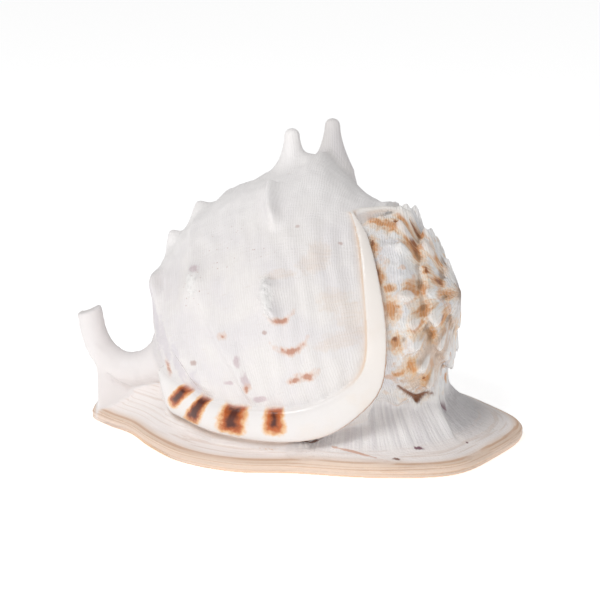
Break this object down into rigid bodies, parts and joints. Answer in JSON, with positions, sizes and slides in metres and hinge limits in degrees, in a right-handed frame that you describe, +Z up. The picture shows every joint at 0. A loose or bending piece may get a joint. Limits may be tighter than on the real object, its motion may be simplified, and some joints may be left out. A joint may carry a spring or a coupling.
{
  "type": "horned helmet shell",
  "caption": "Large white sea snail shell with a horned body whorl, a mottled knobbly spire, a flared flat shield below and an upturned canal at one end.",
  "frame": {"origin": "middle of the shell's footprint, on the plane that it rests on", "axes": "+X from the siphonal canal to the spire, -Y towards the parietal side with the varix, +Z up"},
  "size_m": [0.224, 0.1702, 0.1512],
  "materials": {
    "shell": "natural satin shell with polished peach edges and brown marks"
  },
  "bodies": {
    "root": {"shell": "shell"}
  },
  "joints": []
}
